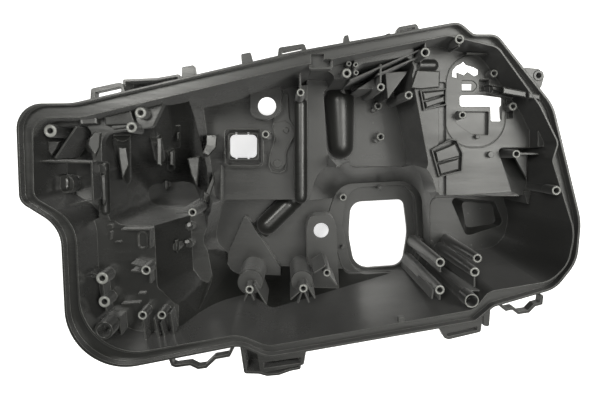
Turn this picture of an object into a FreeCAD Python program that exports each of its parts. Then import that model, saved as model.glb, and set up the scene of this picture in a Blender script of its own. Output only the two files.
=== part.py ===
import FreeCAD
import Part
import math
import os

V = FreeCAD.Vector

# Rear housing of a vehicle headlamp: one injection moulded shell, open at the front.
# Frame while drawing: X to the right and Y up as seen from the open front, Z along the mould draw.
# Z = 0 is the inner floor of the dish round the main opening.

# Driving dimensions in millimetres
wall = 2.5
draft = 3.0
rim_top = 190.0
above = rim_top + 6.0
below = -30.0
# The glue channel that runs round the front
channel_depth = 9.0
channel_floor = 2.5
rim_wall = 2.2
lip_wall = 1.6
lip_drop = 1.5
# Screw bosses and ribs
rib = 1.8
boss_draft = 0.9
# The collar round the main opening, which carries the part when it lies on its back
collar_wall = 2.5
collar_reach = 7.0
foot_radius = 6.0
foot_spots = [(-182, -4), (-152, -3)]
# Floor levels of the hollow, and the tops of raised pads
dish_floor = 0.0
dish_step = 12.0
bowl_floor = 0.0
low_floor = 15.0
right_floor = 38.0
plane_floor = 58.0
slope_floor = 64.0
slot_floor = 66.0
upper_floor = 68.0
panel_floor = 95.0
left_low_floor = 138.0
left_floor = 115.0
ridge_floor = 146.0
plate_floor = 145.0
shelf_floor = 150.0
corner_shelf_floor = 158.0
ledge_floor = 163.0
# Outer loops, tabs and brackets under the flange
loop_top = 185.0
loop_height = 11.0
strip_width = 3.0

# Outer edge of the flange and the lip inside its channel: x, y, corner radius
rim_line = [
    (-277.5, 95, 27), (-222.5, 95.5, 60), (0, 146.5, 200), (155, 174.5, 14), (170, 162.5, 8),
    (193, 162.5, 14), (251.5, 94, 45), (285, -22, 60), (283, -64, 40), (262, -92, 30),
    (199, -110.5, 12), (181, -126.5, 12), (-33, -163.5, 28), (-61.5, -150, 24),
    (-238, -184.5, 76), (-239, -27, 35), (-278.5, -1.5, 14),
]
lip_line = [
    (-262, 80.5, 16), (-215.5, 81, 40), (0, 132, 200), (145.5, 161, 8), (194, 150, 14),
    (238, 93.5, 40), (258, 56.5, 10), (253, 39, 10), (279, -34, 45), (274, -66, 30),
    (257, -84, 30), (193.5, -94.5, 16), (179.5, -113.5, 16), (-33, -151, 26),
    (-63.5, -138.5, 30), (-222.5, -166.5, 60), (-224, -21.5, 45), (-264.5, 3.5, 12),
]


def plain(points, radius=0.0):
    """Give every corner of a list of x, y points the same radius."""
    return [(p[0], p[1], radius) for p in points]


def anticlockwise(points):
    area = 0.0
    for i, p in enumerate(points):
        q = points[(i + 1) % len(points)]
        area += p[0] * q[1] - q[0] * p[1]
    if area < 0:
        return list(reversed(points))
    return list(points)


def directions(points, i):
    """Unit directions of the edges before and after corner i, with their lengths."""
    p = points[i - 1]
    v = points[i]
    q = points[(i + 1) % len(points)]
    before = V(v[0] - p[0], v[1] - p[1], 0)
    after = V(q[0] - v[0], q[1] - v[1], 0)
    return before / before.Length, after / after.Length, before.Length, after.Length


def grow(points, distance):
    """Offset an outline outward by a distance, its corner radii with it."""
    points = anticlockwise(points)
    grown = []
    for i, (x, y, radius) in enumerate(points):
        before, after, _, _ = directions(points, i)
        share = distance / (1 + before.dot(after))
        dx = share * (before.y + after.y)
        dy = -share * (before.x + after.x)
        turn = before.cross(after).z
        if turn > 0:
            radius = max(radius + distance, 0.3)
        else:
            radius = max(radius - distance, 0.3)
        grown.append((x + dx, y + dy, radius))
    return grown


def outline(points, z):
    """A closed wire of straight edges with rounded corners."""
    points = anticlockwise(points)
    corners = []
    for i, (x, y, radius) in enumerate(points):
        before, after, length_before, length_after = directions(points, i)
        angle = before.getAngle(after)
        corner = V(x, y, z)
        if radius <= 0 or angle < 0.01:
            corners.append((corner, corner, corner))
            continue
        reach = min(radius * math.tan(angle / 2), 0.46 * length_before, 0.46 * length_after)
        radius = reach / math.tan(angle / 2)
        start = corner - before * reach
        end = corner + after * reach
        inward = after - before
        inward.normalize()
        middle = corner + inward * (radius / math.cos(angle / 2) - radius)
        corners.append((start, middle, end))
    edges = []
    for i, (start, middle, end) in enumerate(corners):
        following = corners[(i + 1) % len(corners)][0]
        if (end - start).Length > 1e-6:
            edges.append(Part.Arc(start, middle, end).toShape())
        edges.append(Part.LineSegment(end, following).toShape())
    return Part.Wire(edges)


def prism(points, z0, z1):
    """A solid with vertical sides between two levels."""
    if len(points[0]) == 2:
        points = plain(points)
    return Part.Face(outline(points, z0)).extrude(V(0, 0, z1 - z0))


def between(points0, z0, points1, z1):
    """A solid with ruled sides between two outlines that have the same corners."""
    return Part.makeLoft([outline(points0, z0), outline(points1, z1)], True, True)


def drafted(points, z0, z1, degrees=draft):
    """A solid that widens upward by the draft angle."""
    spread = (z1 - z0) * math.tan(math.radians(degrees))
    return between(points, z0, grow(points, spread), z1)


def basin(points0, z0, points1, z1):
    """A hollow with sloping sides up to z1 that runs straight up from there."""
    points1 = anticlockwise(points1)
    return between(anticlockwise(points0), z0, points1, z1).fuse(prism(points1, z1, above))


def joined(shapes):
    """One solid from several that overlap."""
    return shapes[0].multiFuse(shapes[1:]).removeSplitter()


# Floor zones with drafted sides: floor level, outline at the floor
zones = [
    (left_floor, [(-309, 91, 9), (-262.5, 91, 9), (-261, 71.5, 4.5), (-216.5, 73.5, 9),
                  (-216.5, -23, 9), (-253.5, -36.5, 11), (-314, -13.5, 9)]),
    (ridge_floor, [(-218, 37, 3), (-200, 37, 3), (-200, -32, 3), (-218, -32, 3)]),
    (left_low_floor, [(-253.5, -20, 11), (-219, -19, 5), (-209, -27, 3), (-151, -27, 3.5), (-151, -107, 8),
                      (-130, -124, 8), (-126, -192, 11), (-267, -191, 22)]),
    (upper_floor, [(-121, 165, 9.5), (8, 175, 9.5), (8, -12, 9.5), (-101, -11.5, 9.5)]),
    (panel_floor, [(3, 129, 7), (34, 129, 7), (34.5, -27, 7), (3, -27, 7)]),
    (slot_floor, [(30, 119, 6), (70.5, 119, 6), (70, 36.5, 14), (35, 36.5, 14)]),
    (plane_floor, [(62, 132, 7.5), (112.5, 140, 7.5), (136, 28, 7.5), (61, 28.5, 7.5)]),
    (plate_floor, [(119, 166, 6.5), (180.5, 176, 6.5), (234.5, 144.5, 11), (247, 98.5, 13),
                   (250, 5, 11), (144, -1.5, 6.5), (121.5, 49.5, 6.5)]),
    (shelf_floor, [(-17, 148.5, 3), (55, 164, 3), (55.5, 112.5, 3), (27, 105, 3), (-17, 99, 3)]),
    (corner_shelf_floor, [(116, 167.5, 3), (157.5, 178, 3), (162.5, 136.5, 3), (144, 129, 3),
                          (117, 127, 3)]),
    (dish_floor, [(66.5, -2.5, 24), (154, 2.5, 24), (160.5, -73.5, 24), (150.5, -112, 18),
                  (74, -114.5, 21), (60, -52.5, 24)]),
    (plate_floor - 6, [(167.5, 90, 1), (202.5, 90, 1), (203, 65.5, 1), (185.5, 66.5, 1), (168.5, 78, 1)]),
    (plate_floor - 12, [(192, 123.5, 0.8), (201.5, 123.5, 0.8), (202, 112, 0.8), (192.5, 112, 0.8)]),
    (plate_floor - 6, [(127.5, 110, 1.5), (155, 113, 1.5), (155, 96, 1.5), (132, 92.5, 1.5)]),
    (plate_floor - 6, [(143, 50.5, 2), (167.5, 60.5, 2), (175, 47, 2), (175, 27, 2), (152, 22, 2)]),
    (plate_floor - 5, [(148.5, 121, 2), (156, 121, 2), (159.5, -14, 2), (152, -14, 2)]),
    (plate_floor - 26, [(215.5, 50.5, 3), (262, 50.5, 3), (262, -10, 3), (241, -10, 3), (232.5, 4, 3)]),
    (plate_floor - 10, [(221, 96, 1), (228, 96, 1), (229, 83.5, 1), (222, 83.5, 1)]),
]
# Hollows with sloping sides: floor level, outline there, level of the brim, outline there
slopes = [
    (bowl_floor, [(-199, 3, 22), (-168, 5, 8), (-152, 7, 8), (-138, 4, 10), (-130, -16, 12),
                  (-130, -28, 12), (-165, -26, 14), (-199, -24, 18)],
     150, [(-204, 66, 12), (-152, 73, 6), (-138, 101, 9), (-114, 113, 10), (-92, 55, 18),
           (-84, -37, 14), (-150, -34, 10), (-206, -32, 15)]),
    (slope_floor, [(-132, -26, 8), (-114, -26, 8), (-106, -104, 14), (-111, -116, 4),
                   (-120, -112, 6), (-130, -98, 8)],
     150, [(-163, -18, 6), (-90, -22, 14), (-62, -178, 16), (-126, -178, 4),
           (-133, -121, 8), (-161, -103, 8)]),
    (low_floor, [(-96.5, -14.5, 13), (62.5, -14.5, 13), (176.5, -100.5, 18),
                 (163.5, -114, 18), (-76.5, -102.5, 18), (-110.5, -70, 26)],
     150, [(-101, -7, 8), (65, -7, 8), (240.5, -59, 21), (223, -196.5, 21),
           (-142.5, -194, 21), (-133, -58, 21)]),
    (right_floor, [(169, -12.5, 10), (265.5, -10, 12), (301, -33.5, 38), (301, -96, 50),
                   (237, -135.5, 38), (171.5, -126, 10)],
     150, [(140.5, 1, 8), (235, 1, 10), (322, 16, 32), (342.5, -115.5, 32),
           (199.5, -160, 32), (144.5, -171, 8)]),
    (right_floor - 14, [(213, -18, 5), (254, -22, 5), (260, -47, 6.5), (220.5, -53.5, 6.5)],
     right_floor + 1, [(193, -11.5, 5), (251.5, -16.5, 7.5), (265.5, -46.5, 7.5), (216.5, -63, 7.5)]),
    (dish_step, [(53.5, 3.5, 29), (163, 9, 31), (168.5, -71.5, 26), (156, -114.5, 18),
                 (61, -114.5, 18), (40.5, -37.5, 18)],
     90, [(24, 29, 30), (136, 49, 40), (166.5, -64, 35), (158, -112, 11),
          (26, -111, 11), (6.5, -27.5, 16)]),
]
# The inside of the whole shell narrows with the draft below the lip
lip_shrink = (rim_top - below) * math.tan(math.radians(draft))

# Raised pads, hollow behind: level of the top, outline
pads = [
    (90, [(-57.5, 86, 11), (-57, 118, 3), (-26, 127, 3), (-18, 122, 4), (-19, 91.5, 16), (-36.5, 82.5, 16)]),
    (74, [(-31, 84.5, 3.5), (-17, 117, 3.5), (-11, 117, 2.5), (-10, 86.5, 9.5), (-0.5, 71.5, 8.5),
          (-13.5, 45, 6), (-13.5, 32.5, 10), (-24.5, 21.5, 10), (-35, 32, 10), (-34, 46.5, 9.5),
          (-28, 60.5, 9.5)]),
    (45, [(10, -50, 17), (14, -33.5, 17), (44.5, -32, 17), (49.5, -50, 17), (54, -143.5, 2.5),
          (13, -143, 2.5)]),
    (29, [(-68, -32.5, 5), (-22, -104.5, 1.5), (-22, -128, 1.5), (-93.5, -128, 1.5), (-91, -84.5, 2.5)]),
    (140, [(90.5, 133, 1), (119.5, 135, 1), (94, 100, 1)]),
    (140, [(56.5, 112.5, 1), (82, 129, 1), (83, 112.5, 1)]),
    (98, [(2, 124, 1), (11, 124, 1), (11, -9, 4), (2, -9, 4)]),
]
# Wide posts, two of them under bosses, hollow behind: x, y, level of the top, radius there
posts = [(-57, -106, 100, 15), (4, -106, 98, 13), (-222.5, 54.5, 132, 10), (-255.5, 12, 132, 10)]
# Half-round housings and corner columns, hollow behind: both ends of the axis, radius
barrels = [
    (53, 126, 72, 53, 52, 72, 10),
    (-48, -55, 22, -6, -14, 34, 13),
    (-189, 66, 143, -207, 16, 82, 9),
    (-156, 62.5, 130, -163.5, 40.5, 82, 6),
    (-137.5, 80, 106, -145, 56, 72, 5),
    (-151, 47.5, 80, -158.5, 27, 44, 5),
    (-207.5, 36, 147, -209, -16, 143, 5.5),
    (126.5, 138.5, 146, 141, 138.5, 146, 6.5),
]
# Solid knobs with round tops at the foot of the walls: x, y, level of the top, radius
knobs = [(-131, -43, 76, 5), (-132, -64, 76, 5), (-142, -63, 104, 4.5), (-172, 3.5, 16, 4)]
# Small solid blocks: lower and upper level, outline
blocks = [
    (below, 151, [(203.5, 108.5, 1), (210.5, 108.5, 1), (210.5, 116.5, 1), (203.5, 116.5, 1)]),
    (below, 168, [(-192, 71, 1), (-176, 73, 1), (-176, 77.5, 1), (-192, 75.5, 1)]),
    (below, 122, [(253.5, 3, 1), (262, 3, 1), (259.5, -15, 1)]),
    (below, 142, [(-208.5, -31.5, 1), (-202.5, -31, 1), (-202.5, -35.5, 1), (-208, -36, 1)]),
    (180, 187.5, [(101.5, -122.5, 0.5), (108, -121.5, 0.5), (108, -128, 0.5), (101.5, -129, 0.5)]),
]
# The clip pocket in the upper channel: outline, level of its floor
clip_pocket = [(11, 144.5, 0.5), (24, 144.5, 0.5), (24, 138.5, 0.5), (30.5, 138.5, 0.5), (30.5, 132, 0.5),
               (11, 131.5, 0.5)]
clip_floor = 172.0

# Openings through the floors
main_opening = [
    (71.5, -21.5, 16), (142.5, -17.5, 9.5), (149, -62.5, 80), (142.5, -108.5, 17),
    (78, -112.5, 22), (69, -66.5, 80),
]
square_opening = [(-82, 67, 6), (-49.5, 67, 6), (-50, 39.5, 6), (-82, 39.5, 6)]
square_frame = [(-89, 74.5, 8.5), (-41.5, 74.5, 8.5), (-42, 27.5, 8.5), (-89.5, 27.5, 8.5)]
frame_top = 82.0
notch_width = 2.5
notches = [-74.5, -60]
oval_frame = [(-177, -39, 6), (-165, -39, 6), (-165, -58.5, 6), (-177, -58.5, 6)]
oval_frame_top = 141.0
wing_cutout = [
    (162.5, 127), (168, 125.5), (167.5, 131.5), (175, 128.5), (179, 132), (186, 127.5),
    (190.5, 129.5), (190.5, 134.5), (186, 137), (177.5, 139.5), (174.5, 143), (171, 140),
    (166.5, 138), (163, 133.5),
]
window_cutout = [(173.5, 119.5), (184, 119.5), (184, 113), (173.5, 113)]
window_recess = [(173, 123, 1), (185, 123, 5), (191, 117.5, 4), (185.5, 111.5, 5), (173.5, 111.5, 1)]
angle_cutout = [
    (171, 107.5, 3), (193.5, 108, 32), (216.5, 105, 1.5), (217, 80, 2), (205.5, 80, 2),
    (204.5, 95.5, 1.5), (171.5, 95.5, 3),
]
upper_adjuster = (-36.5, 99.5, 10.5)
lower_adjuster = (29.5, -53, 9.5)
# The oval insert in the right-hand floor: centre, half width, half height, and its outline groove
oval = (188.5, 101.5, 32.5, 49.5)
groove_width = 1.2
groove_depth = 1.0

# Screw bosses: x, y, height of the tip, radius at the tip, radius and depth of the screw hole
bosses = [
    (-252.5, 69, 172, 6.6, 2.8, 22), (-160, 87, 176, 5.8, 2.6, 11), (-170, 72.5, 174, 5.6, 2.6, 9),
    (-114.5, -17, 150, 4.6, 2.6, 22), (-209.5, -86, 160, 6.6, 3, 21), (-163, -77.5, 160, 5.2, 3, 21),
    (-208, -111.5, 160, 6.2, 3, 21), (-168, -126.5, 160, 5, 2.8, 21), (-147.5, -126.5, 160, 4.8, 2.8, 21),
    (-210, -143.5, 160, 9.8, 7.4, 21), (-37, 66.5, 120, 4.4, 2.4, 22), (-56.5, -109.5, 120, 5, 2.6, 22),
    (5, -108.5, 120, 5, 2.6, 22), (32, -90.5, 120, 4.4, 2.4, 22), (1, 108, 168, 4.2, 2.2, 16),
    (48, 127.5, 168, 4.8, 2.4, 16), (83, 113.5, 168, 4.2, 2.2, 22), (95, 101, 75, 4.8, 2.6, 15),
    (98.5, 64.5, 75, 4.8, 2.6, 15), (114, 106.5, 157, 4.4, 2.4, 11), (171, 86, 157, 4, 2.2, 11),
    (203, 129, 157, 4, 2.2, 11), (224, 95, 157, 4.4, 2.2, 11), (125, 146.5, 180, 4.8, 2.8, 20),
    (159, 159.5, 180, 4.8, 2.8, 20), (263, 9, 180, 4.8, 2.8, 15), (225, 45.5, 168, 4.2, 2.4, 22),
    (50, 137, 168, 2.6, 1.4, 6), (57, 136, 168, 2.6, 1.4, 6), (57.5, 128, 168, 2.6, 1.4, 6),
    (156, -74.5, 140, 5.4, 3, 22), (149.5, -99, 165, 5.4, 2.8, 22), (190.5, -66, 160, 5, 2.8, 22),
    (183, -77.5, 175, 5.2, 2.8, 22), (181, -108, 175, 7.6, 6, 22), (58.5, -12.5, 30, 4.6, 2.6, 16),
]
# Closed pins: x, y, height of the tip, radius
pins = [
    (-208, 30, 155, 4.6), (107.5, -0.5, 22, 2.6), (59.5, -80, 22, 2.6), (161.5, -69, 30, 2.6),
    (190, 63.5, 151, 2.2), (205, 44.5, 151, 3.2), (-25, 32.5, 77, 4.5), (-14.5, 72, 75.5, 3.2),
    (90.5, 96.5, 70, 2.4), (94, 60, 70, 2.4), (171, -69.5, 44, 2.4),
]
# Ribs: x and y of one end, x and y of the other, height of the top edge
ribs = [
    (-224.5, 73, -247, 41.5, 176), (-265, 38.5, -213, 37, 174), (-211.5, 38, -211.5, -1, 174),
    (-235, -6.5, -211, -1, 174), (-132, -17.5, -117, -17, 150), (-227, -77.5, -210.5, -86, 158),
    (-225, -84, -210.5, -86, 158), (-210.5, -86, -208.5, -112, 158),
    (-208.5, -112, -206.5, -124.5, 158), (-226, -130, -192, -130, 160),
    (-193, -129.5, -190.5, -165, 160), (-179, -71, -163.5, -75.5, 158),
    (-179.5, -79, -163.5, -80, 158), (-191, -35.5, -158, -35.5, 150),
    (-160, -35.5, -160.5, -55.5, 150), (-161.5, -82, -161, -94, 150), (-169, -127.5, -165, -160, 158),
    (-156.5, -130.5, -150.5, -157, 158), (-149.5, -136, -145, -154.5, 158),
    (-139, -125, -135, -152.5, 158), (-229.5, -91.5, -224.5, -112.5, 150),
    (-92, 31, -92.5, -10.5, 80), (-56.5, -110, -63, -123, 118), (-51.5, -104, -37.5, -128, 118),
    (-56.5, -110, -51.5, -123, 118), (5, -109, -9.5, -122, 118), (5, -109, -1, -126, 118),
    (5, -109, 11.5, -126, 118), (8, -103, 18.5, -121, 118), (17.5, -91, 31, -82.5, 118),
    (32, -91, 43.5, -106, 118), (157, -75, 157, -86, 138), (150, -99.5, 150.5, -110.5, 163),
    (143, -98.5, 142, -109.5, 163), (183.5, -78, 184, -94, 173), (125.5, 147, 125.5, 160, 178),
    (159.5, 160, 159.5, 152.5, 178), (264, 8.5, 276, 8.5, 178), (1, 108, 0.5, 128, 166),
    (83, 114, 83, 137, 166), (51.5, 120.5, 122.5, 151, 168), (201, 109.5, 264, 98, 150),
    (200.5, 119, 264, 106.5, 150), (127.5, 101, 155, 104.5, 144), (148, 36.5, 175, 41.5, 144),
    (174, -98.5, 190.5, -98.5, 172), (174, -98.5, 174.5, -119, 172), (190.5, -98.5, 191, -119, 172),
    (225, 45.5, 250, 45.5, 164), (80, 126.5, 124, 145.5, 166), (-204.5, -39, -205.5, -47.5, 142),
    (-200.5, -51, -194.5, -50, 142), (-176.5, -107.5, -169, -107.5, 143), (-195, -119, -175, -118, 143),
]

# Loops outside the flange: outline, slot
loops = [
    ([(-207, 94, 2), (-205.5, 110, 3), (-177.5, 116, 3), (-174, 114.5, 1.5), (-171.5, 103, 1)],
     [(-201.5, 101, 1), (-201.5, 106, 1), (-176, 111.5, 1), (-176, 107, 1)]),
    ([(-22.5, 137, 1), (-21, 150, 3), (4.5, 154, 3), (8, 144, 1)],
     [(-18, 143.5, 0.8), (-17.5, 146, 0.8), (2, 150, 0.8), (2, 147.5, 0.8)]),
    ([(94.5, 160, 1), (96, 170, 3), (115, 173.5, 3), (119, 163, 1)],
     [(98, 165.5, 0.5), (98, 167, 0.5), (113, 170, 0.5), (113, 168.5, 0.5)]),
    ([(143.5, -132, 1), (150, -145, 4), (154.5, -146.5, 3), (188, -138.5, 3), (189.5, -120, 1)],
     [(153, -143.2, 0.8), (153, -140, 0.8), (184.5, -132.8, 0.8), (184, -136.5, 0.8)]),
    ([(-44.5, -155, 1), (-41, -181, 3), (4, -172.5, 3), (7.5, -152, 1)],
     [(-37.5, -176, 1), (-37.5, -169.5, 1), (2, -164.5, 1), (0.5, -170.5, 1)]),
]
# Flat tabs outside the flange: outline
tabs = [
    [(-116.5, 118, 1), (-116, 131, 1.5), (-104, 133, 1.5), (-102.5, 120, 1)],
    [(-57, 131, 1), (-58, 143.5, 1.5), (-48.5, 145.5, 1.5), (-45.5, 134, 1)],
    [(42.5, 151, 1), (43.5, 161.5, 1), (47.5, 162.5, 1), (50, 152, 1)],
    [(80, 158, 0.5), (82, 162, 1), (88.5, 164.5, 1), (90, 159, 0.5)],
    [(190.5, -112, 1), (190.5, -132, 1), (196.5, -133, 2), (197.5, -108, 1)],
]
# Wavy strips along the lower edge of the flange: points on the centre line
strips = [
    [(-135, -162.5), (-132, -171.5), (-128.5, -173), (-113.5, -171), (-105.5, -175), (-97.5, -174),
     (-87.5, -164.5), (-73.5, -162), (-68, -151)],
    [(206, -108.5), (213.5, -115), (221, -113.5), (226.5, -118.5), (237, -117), (243, -110.5),
     (250, -108.5), (250.5, -101)],
]
# Boxed brackets below the flange: outline, bottom level, top level
brackets = [
    ([(-63, -152, 1), (-58.5, -184.5, 3), (-43, -185, 2), (-34.5, -187.5, 2), (-22, -186.5, 2),
      (-9.5, -182, 2), (1, -180, 2), (2, -157, 1)], 142, 178),
    ([(-175.5, 104, 1), (-175.5, 119.5, 2), (-142, 121, 20), (-119, 125, 2), (-119, 114, 1)], 150, 180),
]
# The fixing lug at the upper right with its through hole
lug = [(220, 131, 2), (236, 129.5, 4), (241.5, 123, 4), (239, 112, 3), (230, 104, 2)]
lug_boss = (235.5, 123, 5, 2.6)


def boss(x, y, tip, radius):
    """A tapered post from far below to its tip; the shell's own skin ends it at the back."""
    foot = radius + (tip - below) * math.tan(math.radians(boss_draft))
    return Part.makeCone(foot, radius, tip - below, V(x, y, below))


def screw_hole(x, y, tip, radius, hole, depth):
    return Part.makeCylinder(hole, depth, V(x, y, tip - depth))


def rib_wall(x0, y0, x1, y1, top):
    """An upright rib between two points."""
    start = V(x0, y0, below)
    run = V(x1 - x0, y1 - y0, 0)
    side = V(-run.y, run.x, 0)
    side = side / side.Length * (rib / 2)
    corners = [start - side, start + run - side, start + run + side, start + side]
    return Part.Face(Part.makePolygon(corners + corners[:1])).extrude(V(0, 0, top - below))


def post(x, y, top, radius):
    """A boss whose top is a shallow dome."""
    level = top - radius * 0.4
    dome = Part.makeSphere(radius * 1.05, V(x, y, level))
    keep = dome.fuse(Part.makeCylinder(2 * radius, level - below, V(x, y, below)))
    return boss(x, y, top, radius).common(keep)


def raised_pads():
    """Solid forms of the pads, posts and barrels that stand on the floors."""
    parts = [drafted(points, below, top, -0.5) for top, points in pads]
    for row in posts:
        parts.append(post(*row))
    for row in barrels:
        parts.append(barrel(*row))
    return parts[0].multiFuse(parts[1:])


def raised_backs():
    """The hollows behind the pads, posts and barrels, a wall smaller."""
    parts = [prism(grow(points, -wall), below, top - wall) for top, points in pads]
    for x, y, top, radius in posts:
        level = top - radius * 0.4 - wall
        parts.append(Part.makeCylinder(radius - wall, level - below, V(x, y, below)))
    for x0, y0, z0, x1, y1, z1, radius in barrels:
        axis = V(x1 - x0, y1 - y0, z1 - z0)
        start = V(x0, y0, z0) + axis / axis.Length * wall
        parts.append(barrel(start.x, start.y, start.z, x1, y1, z1, radius - wall))
    return parts[0].multiFuse(parts[1:])


def barrel(x0, y0, z0, x1, y1, z1, radius):
    """A round bar with a ball at its lower end."""
    axis = V(x1 - x0, y1 - y0, z1 - z0)
    bar = Part.makeCylinder(radius, axis.Length, V(x0, y0, z0), axis)
    return bar.fuse(Part.makeSphere(radius, V(x1, y1, z1)))


def hollow_space():
    """Everything the moulding encloses."""
    parts = []
    for floor, points in zones:
        parts.append(drafted(points, floor, above))
    for floor, points, brim, brim_points in slopes:
        parts.append(basin(points, floor, brim_points, brim))
    inside = between(grow(lip_line, -lip_shrink), below, lip_line, rim_top)
    inside = inside.fuse(prism(lip_line, rim_top, above))
    space = joined(parts + [prism(grow(lip_line, 3), ledge_floor, above)])
    return space.common(inside).cut(raised_pads())


def outer_block():
    """The same hollows, each a wall thicker all round."""
    parts = []
    for floor, points in zones:
        parts.append(drafted(grow(points, wall), floor - wall, above))
    for floor, points, brim, brim_points in slopes:
        parts.append(basin(grow(points, wall), floor - wall, grow(brim_points, wall), brim - wall))
    skin = between(grow(lip_line, wall - lip_shrink), below, grow(lip_line, wall), rim_top)
    skin = skin.fuse(prism(grow(lip_line, wall), rim_top, above))
    block = joined(parts + [prism(grow(lip_line, 3 + wall), ledge_floor - wall, above)])
    block = block.common(skin)
    block = block.common(Part.makeBox(800, 600, rim_top - below, V(-400, -300, below)))
    return block.cut(raised_backs())


def strip(points):
    """A thin upright band that follows a row of points."""
    parts = []
    z0 = loop_top - loop_height
    for (x0, y0), (x1, y1) in zip(points, points[1:]):
        run = V(x1 - x0, y1 - y0, 0)
        side = V(-run.y, run.x, 0) / run.Length * (strip_width / 2)
        start = V(x0, y0, z0)
        corners = [start - side, start + run - side, start + run + side, start + side]
        parts.append(Part.Face(Part.makePolygon(corners + corners[:1])).extrude(V(0, 0, loop_height)))
        parts.append(Part.makeCylinder(strip_width / 2, loop_height, V(x1, y1, z0)))
    return parts[0].multiFuse(parts[1:])


def flange():
    """The rim that carries the channel, with everything that hangs on its outside."""
    base = rim_top - channel_depth - channel_floor
    parts = [prism(rim_line, base, rim_top)]
    for points, slot in loops:
        loop = prism(points, loop_top - loop_height, loop_top)
        parts.append(loop.cut(prism(slot, below, above)))
    for points in tabs:
        parts.append(prism(points, loop_top - loop_height, loop_top))
    for points in strips:
        parts.append(strip(points))
    for points, z0, z1 in brackets:
        box = prism(points, z0, z1)
        parts.append(box.cut(prism(grow(points, -wall), z0 + wall, above)))
    parts.append(prism(lug, base, rim_top - 1))
    parts.append(Part.makeCylinder(lug_boss[2], 30, V(lug_boss[0], lug_boss[1], rim_top - 30)))
    return parts[0].multiFuse(parts[1:])


def channel():
    """The groove for the lens, with the lip a little lower than the outer wall."""
    floor = rim_top - channel_depth
    ring = prism(grow(rim_line, -rim_wall), floor, above)
    ring = ring.cut(prism(grow(lip_line, lip_wall), floor - 1, above))
    top = prism(grow(lip_line, lip_wall + 1), rim_top - lip_drop, above)
    return ring.fuse(top)


def pocket_walls():
    """The walls and floor round the clip pocket."""
    return prism(grow(clip_pocket, rim_wall), clip_floor - wall, rim_top - channel_depth + 1)


def details():
    """Bosses, pins and ribs, down to below the shell."""
    parts = []
    for x, y, tip, radius, hole, depth in bosses:
        parts.append(boss(x, y, tip, radius))
    for row in pins:
        parts.append(boss(*row))
    for row in ribs:
        parts.append(rib_wall(*row))
    for row in knobs:
        parts.append(post(*row))
    for bottom, top, points in blocks:
        parts.append(prism(points, bottom, top))
    for points, top, thickness in ((square_frame, frame_top, wall), (oval_frame, oval_frame_top, rib)):
        frame = prism(points, below, top)
        parts.append(frame.cut(prism(grow(points, -thickness), below - 1, above)))
    return parts[0].multiFuse(parts[1:])


def screw_holes():
    return Part.makeCompound([screw_hole(*row) for row in bosses])


def openings():
    parts = [prism(main_opening, below, rim_top / 2)]
    parts.append(prism(square_opening, below, frame_top))
    for x in notches:
        side = notch_width / 2
        slot = [(x - side, 37), (x + side, 37), (x + side, 69.5), (x - side, 69.5)]
        parts.append(prism(slot, below, frame_top))
    for points in (wing_cutout, window_cutout, angle_cutout):
        parts.append(prism(points, plate_floor - 20, plate_floor + 10))
    parts.append(prism(window_recess, plate_floor - 1.2, plate_floor + 10))
    for x, y, radius in (upper_adjuster, lower_adjuster):
        parts.append(Part.makeCylinder(radius, 200, V(x, y, below)))
    parts.append(Part.makeCylinder(lug_boss[3], 60, V(lug_boss[0], lug_boss[1], rim_top - 50)))
    return Part.makeCompound(parts)


def oval_groove():
    """The fine line round the oval insert."""
    x, y, half_width, half_height = oval
    corners = [(x - half_width, y - half_height), (x + half_width, y - half_height),
               (x + half_width, y + half_height), (x - half_width, y + half_height)]
    line = plain(corners, half_width - 0.5)
    level = plate_floor - groove_depth
    ring = prism(grow(line, groove_width / 2), level, plate_floor + 1)
    return ring.cut(prism(grow(line, -groove_width / 2), level, plate_floor + 1))


def collar():
    """A raised edge on the back round the main opening."""
    outside = prism(grow(main_opening, collar_wall), dish_floor - collar_reach, dish_floor)
    return outside.cut(prism(main_opening, below, above))


def feet():
    """Round feet under the bowl that reach the level of the collar."""
    top = bowl_floor - wall / 2
    height = top + collar_reach
    parts = [Part.makeCylinder(foot_radius, height, V(x, y, -collar_reach)) for x, y in foot_spots]
    return Part.makeCompound(parts)


def housing():
    skin = outer_block().fuse(flange())
    shell = skin.cut(hollow_space()).fuse(pocket_walls())
    inner = details().common(skin)
    shell = shell.fuse(inner)
    shell = shell.cut(channel())
    shell = shell.cut(prism(clip_pocket, clip_floor, above))
    shell = shell.multiFuse([collar(), feet()])
    shell = shell.cut(screw_holes())
    shell = shell.cut(openings())
    shell = shell.cut(oval_groove())
    return shell.removeSplitter()


os.makedirs("parts", exist_ok=True)
shape = housing()
box = shape.optimalBoundingBox(False)
shape.translate(V(-box.Center.x, -box.Center.y, -box.ZMin))
shape.exportStep("parts/housing.step")
print("solids", len(shape.Solids), "faces", len(shape.Faces), "valid", shape.isValid())
print("volume", round(shape.Volume), "moved by", -box.Center.x, -box.Center.y, -box.ZMin)
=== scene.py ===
import math
import bmesh
import bpy
from mathutils import Matrix, Vector
from mathutils.bvhtree import BVHTree


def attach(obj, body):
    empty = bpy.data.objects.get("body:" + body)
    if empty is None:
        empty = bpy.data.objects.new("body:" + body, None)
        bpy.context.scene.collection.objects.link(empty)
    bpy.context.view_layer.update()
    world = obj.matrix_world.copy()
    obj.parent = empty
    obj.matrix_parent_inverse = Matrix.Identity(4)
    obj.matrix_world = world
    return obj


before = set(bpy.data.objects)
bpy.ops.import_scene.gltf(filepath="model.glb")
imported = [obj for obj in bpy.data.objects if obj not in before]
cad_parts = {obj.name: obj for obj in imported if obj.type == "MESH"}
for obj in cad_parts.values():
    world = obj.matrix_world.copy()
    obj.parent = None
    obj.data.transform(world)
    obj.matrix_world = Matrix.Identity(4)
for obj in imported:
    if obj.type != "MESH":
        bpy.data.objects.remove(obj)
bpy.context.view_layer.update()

# The shift, in metres, that part.py applied when it moved the housing onto its frame
SHIFT = Vector((-0.00309, 0.00694, 0.007))
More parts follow.
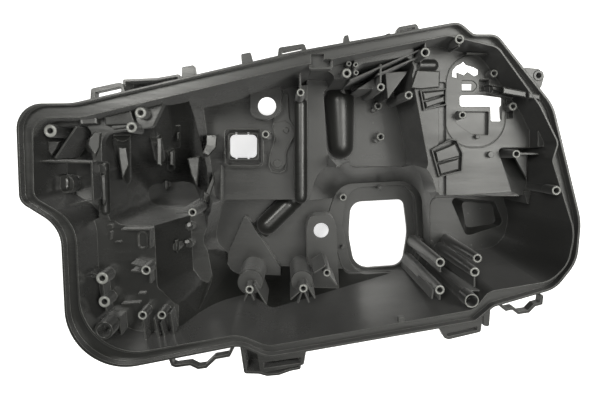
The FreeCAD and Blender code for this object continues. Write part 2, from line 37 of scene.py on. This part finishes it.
MM = 0.001

# The camera of the photograph in the part's drawing frame, in metres
CAMERA_PLACE = Vector((-0.01003, 0.05461, 0.74724))
CAMERA_TARGET = Vector((0.0, 0.0, 0.190))
CAMERA_CLIP = 0.01
FOCAL_PIXELS = 560.0
IMAGE_WIDTH = 600.0
SENSOR_WIDTH = 36.0

# Colours in linear light
PLASTIC = (0.0115, 0.0117, 0.0109)
# Lighter colour of the edges: partly scuffing, partly a painted highlight
EDGE_WEAR_AND_HIGHLIGHT = (0.130, 0.132, 0.123)
# Colour of the boss rims: a painted highlight, far lighter than the plastic
RIM_HIGHLIGHT = (0.165, 0.167, 0.158)
DUST = (0.30, 0.30, 0.28)
FLOOR = (0.86, 0.86, 0.86)
LIGHT_COLOUR = (1.0, 0.995, 0.945)
# How much lighter the plastic gets in clouds, and how much darker the floor in its mottle
PLASTIC_LIGHTER = 1.25
FLOOR_DARKER = 0.985

# Settings that are the same all over the plastic
PLASTIC_SETTINGS = {
    "IOR": 1.50,
    "Specular IOR Level": 0.42,
    "Sheen Weight": 0.13,
    "Sheen Roughness": 0.45,
}
# How much less rough the rims of the screw bosses are
RIM_GLOSS = 0.04

# Patterns: scale, detail, roughness, stretch along X, Y and Z
CLOUD = (14.0, 3.0, 0.55)
FLOW = (9.0, 4.0, 0.6, (1.0, 7.0, 2.0))
GRAIN = (1500.0, 2.0, 0.6)
COARSE_GRAIN = (420.0, 2.0, 0.5)
EDGE_BREAKUP = (55.0, 4.0, 0.65)
SPECKS = (310.0, 1.0, 0.4)
PATCHES = (6.0, 2.0)
MOTTLE = (30.0, 2.0)

# Where a pattern sets in and is full, and the values it gives there if not 0 and 1
CLOUD_SHADE = (0.35, 0.70)
EDGE_BREAKUP_RANGE = (0.35, 0.70, 0.35, 1.0)
SPECK_DUST = (0.765, 0.80)
PATCH_DUST = (0.52, 0.66)
MOTTLE_TINT = (0.3, 0.7)
CLOUD_ROUGH = (0.30, 0.72, -0.04, 0.06)
FLOW_ROUGH = (0.35, 0.68, -0.03, 0.05)
GRAIN_ROUGH = (0.30, 0.70, -0.02, 0.03)
# The same for metres along X: the left-hand bowl is glossier than the right-hand floors
LENGTH_ROUGH = (-0.14, 0.02, 0.23, 0.33)
# How strongly the edges lighten, by scuffing and a painted highlight, and how strongly the dust
# shows
WEAR_AND_HIGHLIGHT_STRENGTH = 0.85
DUST_STRENGTH = 0.25

# Bumps: strength, height in metres
FLOW_BUMP = (0.25, 0.0008)
COARSE_BUMP = (0.10, 0.0003)
GRAIN_BUMP = (0.16, 0.00012)

# Lighter edges, partly scuffing and partly a painted highlight: radius in metres, samples, and the
# cosines of the turn between which they set in
EDGE_RADIUS = 0.0010
EDGE_SAMPLES = 6
EDGE_TURN = (0.995, 0.80)

# The floor: half its side and its level in metres, and its own light, which the camera alone sees
FLOOR_HALF = 3.0
FLOOR_LEVEL = -0.0004
FLOOR_GLOW = 0.70
# The world's strength on the housing, and as the camera sees it
WORLD_LIGHT = 0.20
WORLD_SEEN = 1.0
# Lamps: name, place, target, width and height in metres, power in watts
LAMPS = [
    ("key", (0.38, -0.25, 1.9), (0.0, -0.05, 0.1), 1.15, 1.1, 12.5),
    ("side", (0.88, 0.30, 1.75), (0.10, 0.05, 0.1), 0.8, 0.7, 27.0),
    ("left", (-0.60, 0.52, 1.9), (-0.05, 0.05, 0.1), 0.5, 0.5, 19.0),
]

# Every measure from here on is in millimetres of the part's drawing frame.
# Screw bosses: x, y, height of the tip, outer and hole radius
BOSSES = [
    (-252.5, 69, 172, 6.6, 2.8), (-160, 87, 176, 5.8, 2.6), (-170, 72.5, 174, 5.6, 2.6),
    (-114.5, -17, 150, 4.6, 2.6), (-209.5, -86, 160, 6.6, 3), (-163, -77.5, 160, 5.2, 3),
    (-208, -111.5, 160, 6.2, 3), (-168, -126.5, 160, 5, 2.8), (-147.5, -126.5, 160, 4.8, 2.8),
    (-37, 66.5, 120, 4.4, 2.4), (-56.5, -109.5, 120, 5, 2.6),
    (5, -108.5, 120, 5, 2.6), (32, -90.5, 120, 4.4, 2.4), (1, 108, 168, 4.2, 2.2),
    (48, 127.5, 168, 4.8, 2.4), (83, 113.5, 168, 4.2, 2.2), (95, 101, 75, 4.8, 2.6),
    (98.5, 64.5, 75, 4.8, 2.6), (114, 106.5, 157, 4.4, 2.4), (171, 86, 157, 4, 2.2),
    (203, 129, 157, 4, 2.2), (224, 95, 157, 4.4, 2.2), (125, 146.5, 180, 4.8, 2.8),
    (225, 45.5, 168, 4.2, 2.4),
    (50, 137, 168, 2.6, 1.4), (57, 136, 168, 2.6, 1.4), (57.5, 128, 168, 2.6, 1.4),
    (156, -74.5, 140, 5.4, 3), (149.5, -99, 165, 5.4, 2.8), (190.5, -66, 160, 5, 2.8),
    (183, -77.5, 175, 5.2, 2.8), (58.5, -12.5, 30, 4.6, 2.6),
]
# The bosses that stand against the outer wall, which sleeves make whole; the widest has no rim
WALL_BOSSES = [
    (156.5, 158, 188, 4.7, 2.7), (259, 9, 188, 4.7, 2.7), (176.5, -104.5, 188, 7.4, 5.9),
]
WIDEST_BOSS = (-200, -133.5, 189, 9.2, 7)

# Rims of the bosses: how far they keep from the tip's outer edge and from the hole's, how deep
# they sink into the tip, how high they rise over it, steps over their crown
RIM_INSET = 0.1
RIM_HOLE_INSET = 0.05
RIM_SINK = 0.4
RIM_CROWN = 0.9
RIM_STEPS = 8
# Sleeves: length, thickness of the bottom, how far they stand over the boss and into its hole,
# bevels at the tip and at the lower end
SLEEVE_LENGTH = 24.0
SLEEVE_BOTTOM = 3.0
SLEEVE_OVER = 0.15
SLEEVE_BEVEL = 0.3
SLEEVE_END_BEVEL = 1.5
# Steps round a rim or a sleeve
TURNS = 40

# Raised facets, plates and bars: name, height of the top at its middle, its rise per mm to the
# right and upward in the picture, outline
RELIEFS = [
    ("bowl_column_1", 138, -0.28, 0.05, [
        (-194.5, 54.5), (-186.5, 55.5), (-184.5, 33), (-191.5, 17.5), (-194, 40.5)]),
    ("bowl_column_2", 132, -0.28, 0.05, [(-154.5, 62.5), (-149, 62.5), (-150, 32), (-155, 33.5)]),
    ("bowl_column_3", 84, -0.28, 0.05, [(-151, 47.5), (-146, 48.5), (-146.5, 30), (-151.5, 31.5)]),
    ("bowl_column_4", 104, -0.28, 0.05, [(-138.5, 69), (-135, 70), (-135, 62), (-138.5, 59.5)]),
    ("bowl_facet_1", 118, -0.24, 0.08, [(-124, 40), (-110.5, 43), (-114.5, 7), (-120.5, 21.5)]),
    ("bowl_facet_2", 132, -0.28, 0.05, [
        (-105.5, 45.5), (-98.5, 42.5), (-90.5, 52.5), (-89, 66.5), (-101, 66), (-101.5, 55.5)]),
    ("bowl_facet_3", 98, -0.28, 0.05, [(-110, 2), (-103.5, -2.5), (-107.5, -12.5), (-111, -9)]),
    ("corner_facet", 166, -0.26, 0.1, [
        (-217, 55.5), (-215, 62), (-209.5, 68.5), (-204, 67), (-206, 52), (-210.5, 42.5)]),
    ("ledge_facet_1", 171, -0.28, 0.05, [
        (-222.5, 82.5), (-205.5, 83.5), (-205.5, 76), (-222, 75)]),
    ("ledge_facet_2", 171, -0.15, 0.03, [
        (-197, 83), (-171, 89.5), (-168, 79), (-165, 76), (-196, 74.5)]),
    ("post_facet", 156, -0.28, 0.05, [
        (-208, 23.5), (-203.5, 24.5), (-203.5, -3), (-205.5, -10.5), (-207.5, -7)]),
    ("bowl_spot", 18, -0.28, 0.05, [
        (-173, 8), (-170.5, 10), (-168, 8), (-168, -1), (-170.5, -5.5), (-173, -1)]),
    ("wall_spot_1", 80, -0.24, -0.05, [
        (-134.5, -39), (-131.5, -36.5), (-128, -37.5), (-127.5, -42), (-131, -44.5), (-134, -43)]),
    ("wall_spot_2", 84, -0.24, -0.05, [
        (-136.5, -58.5), (-133, -57), (-129.5, -58), (-129.5, -62), (-133, -63.5),
        (-136, -62.5)]),
    ("wall_spot_3", 108, -0.26, 0.05, [
        (-142.5, -54), (-138.5, -53), (-138, -61), (-140, -69), (-142, -65.5)]),
    ("edge_facet", 96, -0.2, 0.05, [
        (-111.5, -5.5), (-107.5, 1.5), (-98, 23.5), (-97.5, 12), (-106.5, -12.5)]),
    ("pocket_facet", 158, -0.16, 0.05, [
        (-261, 59), (-249, 58.5), (-253.5, 49.5), (-258, 43.5), (-261.5, 48.5)]),
    ("pocket_spot", 134, -0.26, 0.03, [
        (-254.5, 19), (-252, 20.5), (-250.5, 15.5), (-251, 8), (-253.5, 6), (-255, 10.5)]),
    ("clip_plate", 148.5, 0, 0, [
        (118, 114.5), (124, 133.5), (148.5, 132.5), (148.5, 115.5), (128.5, 113.5)]),
    ("upper_clip_leaf_1", 148.5, 0, 0, [(130.5, 110), (153.5, 112.5), (154, 108), (132.5, 102)]),
    ("upper_clip_leaf_2", 148.5, 0, 0, [(133, 100.5), (153.5, 106.5), (154.5, 100.5), (135, 94)]),
    ("lower_clip_leaf_1", 148.5, 0, 0, [
        (145.5, 47.5), (167, 56.5), (172, 45.5), (171.5, 42.5), (148.5, 36)]),
    ("lower_clip_leaf_2", 148.5, 0, 0, [(148.5, 34), (171.5, 40.5), (171.5, 28.5), (152, 23)]),
    ("corner_plate", 147, 0, 0, [(230, 43.5), (246, 45.5), (246, 17)]),
    ("rail_end", 153, 0, 0, [(202.5, 117), (214, 114.5), (213, 110), (203, 112.5)]),
    ("rail_bar_1", 187.5, 0, 0, [(201.5, 105.5), (225, 101.5), (225, 107.5), (201.5, 112)]),
    ("rail_bar_2", 188.3, 0, 0, [(227, 101), (239, 99), (238.5, 104.5), (226.5, 107)]),
    ("top_bar", 165, 0, 0, [(171, 146.5), (171, 149), (196, 149), (196, 146.5)]),
]
# Narrow raised frames, open inside: name, height of the top, outline
FRAMES = [
    ("lever_plate_rim", 75, [
        (-29.5, 81.5), (-16.5, 84.5), (-9.5, 80.5), (-4.5, 70.5), (-5, 64), (-15, 49),
        (-14, 31), (-15, 24), (-22.5, 20.5), (-32.5, 22.5), (-36, 30), (-34.5, 43),
        (-30, 57.5), (-28.5, 67.5), (-31, 77)]),
    ("square_outer_frame", 87, [
        (-84, 74), (-45, 74), (-41.5, 70), (-40.5, 33.5), (-43.5, 29.5), (-83, 29.5),
        (-87, 33.5), (-87.5, 70)]),
    ("square_inner_frame", 86, [
        (-80, 68.5), (-49, 68.5), (-47, 66.5), (-46.5, 39.5), (-48.5, 37), (-80, 37),
        (-82.5, 39.5), (-82.5, 66.5)]),
    ("upper_clip_frame", 149.5, [(127.5, 112.5), (132, 91), (156, 97), (156, 114.5)]),
    ("lower_clip_frame", 149.5, [
        (141, 50), (161.5, 61.5), (168.5, 60.5), (175.5, 46), (175, 26.5), (150, 20)]),
]
FRAME_WIDTH = 1.4
# Facets and frames: bevel of the top's edge, longest step along the outline, depth of the foot
# under the surface that they stand on
RELIEF_EDGE = 1.0
RELIEF_STEP = 3.0
RELIEF_SINK = 1.2

# Long half-round forms: name, both ends of the base line, half widths there, height of the crown
HALF_ROUNDS = [
    ("column_ridge", (2.5, 109, 98), (3, -13, 98), 7.5, 7.5, 7),
    ("diagonal_barrel", (-49, -56, 33), (-4, -12, 33), 13.5, 13.5, 14),
    ("slot_barrel", (48.5, 126, 66), (52.5, 38, 66), 19, 14.5, 18),
]
# Steps across and along them, and the share of the section that is left at the very ends
ROUND_STEPS = 20
ROUND_LENGTHS = 32
ROUND_END = 0.02


class Graph:
    """A small helper that builds a node tree one call at a time."""

    def __init__(self, name):
        self.material = bpy.data.materials.new(name)
        self.material.use_nodes = True
        self.tree = self.material.node_tree
        self.tree.nodes.clear()
        self.output = self.tree.nodes.new("ShaderNodeOutputMaterial")

    def node(self, kind, **settings):
        """A new node with these settings."""
        made = self.tree.nodes.new(kind)
        for key, value in settings.items():
            setattr(made, key, value)
        return made

    def link(self, source, target):
        """A link from an output to an input."""
        self.tree.links.new(source, target)

    def feed(self, value, socket, constant):
        """A link to the socket, or the constant form of the value where it is no output."""
        if isinstance(value, bpy.types.NodeSocket):
            self.link(value, socket)
        else:
            socket.default_value = constant(value)

    def coordinates(self, scale=(1, 1, 1)):
        """The object's own coordinates, stretched by a scale."""
        place = self.node("ShaderNodeTexCoord")
        mapping = self.node("ShaderNodeMapping")
        mapping.inputs["Scale"].default_value = scale
        self.link(place.outputs["Object"], mapping.inputs["Vector"])
        return mapping.outputs["Vector"]

    def noise(self, scale, detail=2.0, roughness=0.5, stretch=(1, 1, 1)):
        """A noise pattern from 0 to 1."""
        made = self.node("ShaderNodeTexNoise")
        made.inputs["Scale"].default_value = scale
        made.inputs["Detail"].default_value = detail
        made.inputs["Roughness"].default_value = roughness
        self.link(self.coordinates(stretch), made.inputs["Vector"])
        return made.outputs["Fac"]

    def along_x(self):
        """The object's X in metres."""
        parts = self.node("ShaderNodeSeparateXYZ")
        self.link(self.coordinates(), parts.inputs["Vector"])
        return parts.outputs["X"]

    def ramp(self, value, low, high, start=0.0, end=1.0):
        """A value between low and high, mapped to one between start and end."""
        made = self.node("ShaderNodeMapRange")
        made.inputs["From Min"].default_value = low
        made.inputs["From Max"].default_value = high
        made.inputs["To Min"].default_value = start
        made.inputs["To Max"].default_value = end
        self.link(value, made.inputs["Value"])
        return made.outputs["Result"]

    def maths(self, operation, first, second):
        """The result of an operation on two numbers."""
        made = self.node("ShaderNodeMath", operation=operation)
        self.feed(first, made.inputs[0], float)
        self.feed(second, made.inputs[1], float)
        return made.outputs["Value"]

    def mix(self, factor, first, second):
        """A blend of two colours, which are inputs 6 and 7 and output 2 of the node."""
        made = self.node("ShaderNodeMix", data_type="RGBA")
        self.link(factor, made.inputs["Factor"])
        self.feed(first, made.inputs[6], lambda colour: (*colour, 1.0))
        self.feed(second, made.inputs[7], lambda colour: (*colour, 1.0))
        return made.outputs[2]

    def bump(self, height, strength, distance, normal=None):
        """A normal that the height tilts."""
        made = self.node("ShaderNodeBump")
        made.inputs["Strength"].default_value = strength
        made.inputs["Distance"].default_value = distance
        self.link(height, made.inputs["Height"])
        if normal is not None:
            self.link(normal, made.inputs["Normal"])
        return made.outputs["Normal"]


def edge_mask(graph):
    """The rounded normal, and how far it turns from the true one: 1 at an edge, 0 on a face."""
    rounded = graph.node("ShaderNodeBevel", samples=EDGE_SAMPLES)
    rounded.inputs["Radius"].default_value = EDGE_RADIUS
    place = graph.node("ShaderNodeNewGeometry")
    dot = graph.node("ShaderNodeVectorMath", operation="DOT_PRODUCT")
    graph.link(rounded.outputs["Normal"], dot.inputs[0])
    graph.link(place.outputs["Normal"], dot.inputs[1])
    return rounded.outputs["Normal"], graph.ramp(dot.outputs["Value"], *EDGE_TURN)


def moulded_plastic(name, colour=PLASTIC, edge_wear_and_highlight=EDGE_WEAR_AND_HIGHLIGHT, gloss=0.0):
    """Black moulded plastic: eroded grain, faint flow marks, edges lightened partly by scuffing
    and partly as a painted highlight, and a little dust.
    """
    graph = Graph(name)
    shader = graph.node("ShaderNodeBsdfPrincipled")
    rounded, edges = edge_mask(graph)
    cloud = graph.noise(*CLOUD)
    flow = graph.noise(*FLOW)
    grain = graph.noise(*GRAIN)
    coarse = graph.noise(*COARSE_GRAIN)
    edge_breakup = graph.noise(*EDGE_BREAKUP)

    lighter = tuple(PLASTIC_LIGHTER * c for c in colour)
    shade = graph.mix(graph.ramp(cloud, *CLOUD_SHADE), colour, lighter)
    # Edges lightened partly by scuffing, partly as a painted highlight
    wear_and_highlight = graph.maths("MULTIPLY", edges, graph.ramp(edge_breakup, *EDGE_BREAKUP_RANGE))
    shade = graph.mix(graph.maths("MULTIPLY", wear_and_highlight, WEAR_AND_HIGHLIGHT_STRENGTH), shade, edge_wear_and_highlight)
    specks = graph.ramp(graph.noise(*SPECKS), *SPECK_DUST)
    patches = graph.ramp(graph.noise(*PATCHES), *PATCH_DUST)
    dusty = graph.maths("MULTIPLY", specks, patches)
    shade = graph.mix(graph.maths("MULTIPLY", dusty, DUST_STRENGTH), shade, DUST)
    graph.link(shade, shader.inputs["Base Color"])

    low, high, smooth, rough = CLOUD_ROUGH
    cloud_rough = graph.ramp(cloud, low, high, smooth - gloss, rough - gloss)
    total = graph.maths("ADD", cloud_rough, graph.ramp(flow, *FLOW_ROUGH))
    total = graph.maths("ADD", total, graph.ramp(grain, *GRAIN_ROUGH))
    total = graph.maths("ADD", total, graph.ramp(graph.along_x(), *LENGTH_ROUGH))
    graph.link(total, shader.inputs["Roughness"])
    for setting, value in PLASTIC_SETTINGS.items():
        shader.inputs[setting].default_value = value

    normal = graph.bump(flow, *FLOW_BUMP, rounded)
    normal = graph.bump(coarse, *COARSE_BUMP, normal)
    normal = graph.bump(grain, *GRAIN_BUMP, normal)
    graph.link(normal, shader.inputs["Normal"])
    graph.link(shader.outputs["BSDF"], graph.output.inputs["Surface"])
    return graph.material


def placed(x, y, z):
    """Where a point of the drawing lies in the frame, in metres."""
    return MM * Vector((x, y, z)) + SHIFT


def add_piece(name, made, material):
    """Turn a bmesh into a piece of the housing's look that rides with it."""
    mesh = bpy.data.meshes.new(name)
    made.to_mesh(mesh)
    made.free()
    mesh.materials.append(material)
    piece = bpy.data.objects.new(name, mesh)
    bpy.context.scene.collection.objects.link(piece)
    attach(piece, "root")


def join_loops(made, loops):
    """Faces between each closed loop of vertices and the next."""
    for low, high in zip(loops, loops[1:]):
        for i in range(len(low)):
            j = (i + 1) % len(low)
            made.faces.new((low[i], low[j], high[j], high[i]))


def spun(made, x, y, profile):
    """Vertices of a profile of radii and heights, turned about an upright axis: a row per turn."""
    rows = []
    for turn in range(TURNS):
        angle = 2 * math.pi * turn / TURNS
        rows.append([
            made.verts.new(placed(x + r * math.cos(angle), y + r * math.sin(angle), z))
            for r, z in profile])
    return rows


def boss_rims(material):
    """The rounded, slightly polished rims on the flat tips of the screw bosses; their light colour
    is a painted highlight.
    """
    made = bmesh.new()
    for x, y, tip, boss, hole in BOSSES + WALL_BOSSES:
        outer = boss - RIM_INSET
        inner = hole + RIM_HOLE_INSET
        middle = (outer + inner) / 2
        half = (outer - inner) / 2
        profile = [(middle - half, tip - RIM_SINK), (middle + half, tip - RIM_SINK)]
        for step in range(RIM_STEPS + 1):
            angle = math.pi * step / RIM_STEPS
            profile.append((middle + half * math.cos(angle), tip + RIM_CROWN * math.sin(angle)))
        rows = spun(made, x, y, profile)
        join_loops(made, rows + rows[:1])
    for face in made.faces:
        face.smooth = True
    bmesh.ops.recalc_face_normals(made, faces=made.faces)
    add_piece("boss_rims", made, material)


def wall_sleeves(material):
    """The full round of the bosses at the outer wall: a sleeve with a closed bottom each."""
    made = bmesh.new()
    for x, y, tip, boss, hole in WALL_BOSSES + [WIDEST_BOSS]:
        wide = boss + SLEEVE_OVER
        narrow = hole - SLEEVE_OVER
        end = tip - SLEEVE_LENGTH
        bottom = end + SLEEVE_BOTTOM
        inner_middle = made.verts.new(placed(x, y, bottom))
        end_middle = made.verts.new(placed(x, y, end))
        rows = spun(made, x, y, [
            (narrow, bottom), (narrow, tip - SLEEVE_BEVEL), (narrow + SLEEVE_BEVEL, tip),
            (wide - SLEEVE_BEVEL, tip), (wide, tip - SLEEVE_BEVEL),
            (wide, end + SLEEVE_END_BEVEL), (wide - SLEEVE_END_BEVEL, end)])
        for row, following in zip(rows, rows[1:] + rows[:1]):
            made.faces.new((inner_middle, row[0], following[0]))
            made.faces.new((end_middle, following[-1], row[-1]))
            for i in range(len(row) - 1):
                made.faces.new((row[i], row[i + 1], following[i + 1], following[i]))
    bmesh.ops.recalc_face_normals(made, faces=made.faces)
    add_piece("wall_boss_sleeves", made, material)


def fine_outline(points):
    """The outline anticlockwise, with points no further apart than RELIEF_STEP."""
    area = sum(p[0] * q[1] - q[0] * p[1] for p, q in zip(points, points[1:] + points[:1]))
    if area < 0:
        points = points[::-1]
    fine = []
    for p, q in zip(points, points[1:] + points[:1]):
        start = Vector(p)
        run = Vector(q) - start
        count = max(1, math.ceil(run.length / RELIEF_STEP))
        fine.extend(start + run * i / count for i in range(count))
    return fine


def inward(fine):
    """The inward direction at each point of an anticlockwise outline."""
    turned = []
    for i, p in enumerate(fine):
        along = (fine[(i + 1) % len(fine)] - p).normalized() + (p - fine[i - 1]).normalized()
        turned.append(Vector((-along.y, along.x)).normalized())
    return turned


def ground(surface, x, y, z):
    """Just under the housing's surface behind a point, along the photograph's line of sight."""
    top = placed(x, y, z)
    sight = (top - CAMERA_PLACE - SHIFT).normalized()
    hit, _, _, _ = surface.ray_cast(top, sight)
    return (top if hit is None else hit) + MM * RELIEF_SINK * sight


def relief(material, surface, name, height, rise_x, rise_y, points):
    """A raised facet with a sloping top that grows out of whatever lies under it."""
    fine = fine_outline(points)
    middle = sum(fine, Vector((0, 0))) / len(fine)
    made = bmesh.new()
    inner, shoulder, foot = [], [], []
    for p, into in zip(fine, inward(fine)):
        away = p - middle
        level = height + rise_x * away.x + rise_y * away.y
        inset = p + into * RELIEF_EDGE
        top = placed(p.x, p.y, level)
        foot.append(made.verts.new(ground(surface, p.x, p.y, level)))
        shoulder.append(made.verts.new((top.x, top.y, top.z - MM * RELIEF_EDGE)))
        inner.append(made.verts.new(placed(inset.x, inset.y, level)))
    join_loops(made, [foot, shoulder, inner])
    made.faces.new(inner)
    made.faces.new(foot[::-1])
    bmesh.ops.triangulate(made, faces=[face for face in made.faces if len(face.verts) > 4])
    add_piece(name, made, material)


def raised_frame(material, surface, name, height, points):
    """A narrow frame with a flat top along an outline, open inside."""
    fine = fine_outline(points)
    made = bmesh.new()
    outer_foot, outer_top, inner_top, inner_foot = [], [], [], []
    for p, into in zip(fine, inward(fine)):
        inset = p + into * FRAME_WIDTH
        outer_top.append(made.verts.new(placed(p.x, p.y, height)))
        inner_top.append(made.verts.new(placed(inset.x, inset.y, height)))
        outer_foot.append(made.verts.new(ground(surface, p.x, p.y, height)))
        inner_foot.append(made.verts.new(ground(surface, inset.x, inset.y, height)))
    join_loops(made, [outer_foot, outer_top, inner_top, inner_foot, outer_foot])
    bmesh.ops.recalc_face_normals(made, faces=made.faces)
    add_piece(name, made, material)


def half_round(material, surface, name, start, end, wide_start, wide_end, height):
    """A long half-round form with rounded ends that grows out of whatever lies under it."""
    start, end = Vector(start), Vector(end)
    run = end - start
    side = Vector((-run.y, run.x, 0)).normalized()
    made = bmesh.new()
    rows = []
    for step in range(ROUND_LENGTHS + 1):
        share = 0.5 - 0.5 * math.cos(math.pi * step / ROUND_LENGTHS)
        wide = wide_start + (wide_end - wide_start) * share
        from_end = min(share, 1 - share) * run.length / wide
        taper = max(math.sqrt(1 - (1 - min(from_end, 1)) ** 2), ROUND_END)
        base = start + run * share
        line = []
        for turn in range(ROUND_STEPS + 1):
            angle = math.pi * turn / ROUND_STEPS
            across = side * wide * taper * math.cos(angle)
            line.append(base + across + Vector((0, 0, height * taper * math.sin(angle))))
        corners = [ground(surface, *line[0])]
        corners += [placed(*point) for point in line]
        corners.append(ground(surface, *line[-1]))
        rows.append([made.verts.new(corner) for corner in corners])
    join_loops(made, rows)
    made.faces.new(rows[0])
    made.faces.new(rows[-1][::-1])
    for face in made.faces:
        face.smooth = len(face.verts) == 4
    bmesh.ops.recalc_face_normals(made, faces=made.faces)
    add_piece(name, made, material)


def pale_floor(name):
    """A pale matt material that the camera sees as white and that takes the housing's shadow."""
    graph = Graph(name)
    diffuse = graph.node("ShaderNodeBsdfDiffuse")
    darker = tuple(FLOOR_DARKER * c for c in FLOOR)
    tint = graph.mix(graph.ramp(graph.noise(*MOTTLE), *MOTTLE_TINT), FLOOR, darker)
    graph.link(tint, diffuse.inputs["Color"])
    glow = graph.node("ShaderNodeEmission")
    glow.inputs["Color"].default_value = (1, 1, 1, 1)
    rays = graph.node("ShaderNodeLightPath")
    strength = graph.maths("MULTIPLY", rays.outputs["Is Camera Ray"], FLOOR_GLOW)
    graph.link(strength, glow.inputs["Strength"])
    both = graph.node("ShaderNodeAddShader")
    graph.link(diffuse.outputs["BSDF"], both.inputs[0])
    graph.link(glow.outputs["Emission"], both.inputs[1])
    graph.link(both.outputs["Shader"], graph.output.inputs["Surface"])
    return graph.material


def floor():
    """A plain square floor just under the housing."""
    mesh = bpy.data.meshes.new("floor")
    half = FLOOR_HALF
    corners = [(-half, -half), (half, -half), (half, half), (-half, half)]
    mesh.from_pydata([(x, y, FLOOR_LEVEL) for x, y in corners], [], [(0, 1, 2, 3)])
    made = bpy.data.objects.new("floor", mesh)
    bpy.context.scene.collection.objects.link(made)
    mesh.materials.append(pale_floor("floor_white"))


def softbox(name, place, target, width, height, power):
    """A soft rectangular lamp that faces its target."""
    light = bpy.data.lights.new(name, "AREA")
    light.shape = "RECTANGLE"
    light.size = width
    light.size_y = height
    light.energy = power
    light.color = LIGHT_COLOUR
    made = bpy.data.objects.new(name, light)
    made.location = place
    made.rotation_euler = (Vector(target) - Vector(place)).to_track_quat("-Z", "Y").to_euler()
    bpy.context.scene.collection.objects.link(made)


def lighting():
    """A dim white world that the camera sees as white, and the lamps."""
    world = bpy.data.worlds.new("studio")
    world.use_nodes = True
    tree = world.node_tree
    background = tree.nodes["Background"]
    rays = tree.nodes.new("ShaderNodeLightPath")
    level = tree.nodes.new("ShaderNodeMapRange")
    level.inputs["To Min"].default_value = WORLD_LIGHT
    level.inputs["To Max"].default_value = WORLD_SEEN
    tree.links.new(rays.outputs["Is Camera Ray"], level.inputs["Value"])
    tree.links.new(level.outputs["Result"], background.inputs["Strength"])
    background.inputs["Color"].default_value = (1, 1, 1, 1)
    bpy.context.scene.world = world
    for lamp in LAMPS:
        softbox(*lamp)


def camera():
    """The camera at the photograph's place and angle."""
    lens = bpy.data.cameras.new("camera")
    lens.sensor_fit = "HORIZONTAL"
    lens.sensor_width = SENSOR_WIDTH
    lens.lens = SENSOR_WIDTH * FOCAL_PIXELS / IMAGE_WIDTH
    lens.clip_start = CAMERA_CLIP
    made = bpy.data.objects.new("camera", lens)
    bpy.context.scene.collection.objects.link(made)
    back = (CAMERA_PLACE - CAMERA_TARGET).normalized()
    right = Vector((0, 1, 0)).cross(back).normalized()
    up = back.cross(right)
    turn = Matrix((right, up, back)).transposed().to_4x4()
    made.matrix_world = Matrix.Translation(CAMERA_PLACE + SHIFT) @ turn
    bpy.context.scene.camera = made


bpy.context.scene.view_settings.view_transform = "Standard"
camera()
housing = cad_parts["housing"]
plastic = moulded_plastic("moulded_plastic_black")
for slot in housing.material_slots:
    slot.material = plastic
# The rims are coloured much lighter than the plastic, a painted highlight
boss_rims(moulded_plastic("moulded_plastic_rims_painted_highlight", RIM_HIGHLIGHT, RIM_HIGHLIGHT, RIM_GLOSS))
wall_sleeves(plastic)
surface = BVHTree.FromObject(housing, bpy.context.evaluated_depsgraph_get())
for row in RELIEFS:
    relief(plastic, surface, *row)
for row in HALF_ROUNDS:
    half_round(plastic, surface, *row)
for row in FRAMES:
    raised_frame(plastic, surface, *row)
floor()
lighting()
